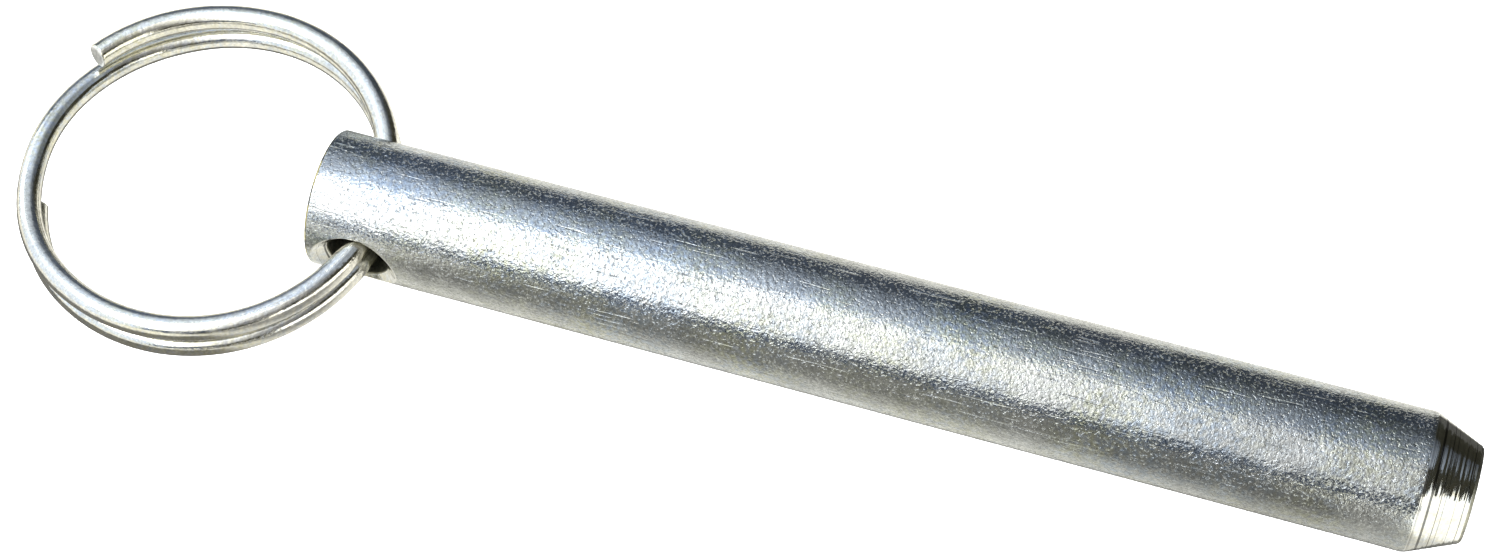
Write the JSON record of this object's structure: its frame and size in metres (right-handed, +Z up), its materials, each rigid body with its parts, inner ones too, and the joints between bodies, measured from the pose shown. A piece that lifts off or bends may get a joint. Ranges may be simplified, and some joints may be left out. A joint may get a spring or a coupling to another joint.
{
  "type": "hitch pin lock",
  "caption": "Round steel hitch pin with a tapered tip at one end and a split ring through a cross hole at the other.",
  "frame": {"origin": "middle of the footprint on the ground, below the whole object's bounding box", "axes": "+Z up; the pin lies along X with its tapered tip at +X and its ring at -X; -Y is the side that the ring leans towards"},
  "size_m": [0.136, 0.036, 0.0127],
  "materials": {
    "pin_zinc": "bright zinc plate, slightly grained",
    "ring_zinc": "bright zinc plate on drawn wire"
  },
  "bodies": {
    "pin": {"pin": "pin_zinc"},
    "split_ring": {"split_ring": "ring_zinc"}
  },
  "joints": [
    {"name": "ring_swing", "type": "hinge", "parent": "pin", "child": "split_ring", "pos_m": [-0.03368, 0.00096, 0.00635], "axis": [0, 0.9829, 0.184], "range_deg": [-163, 167]}
  ]
}
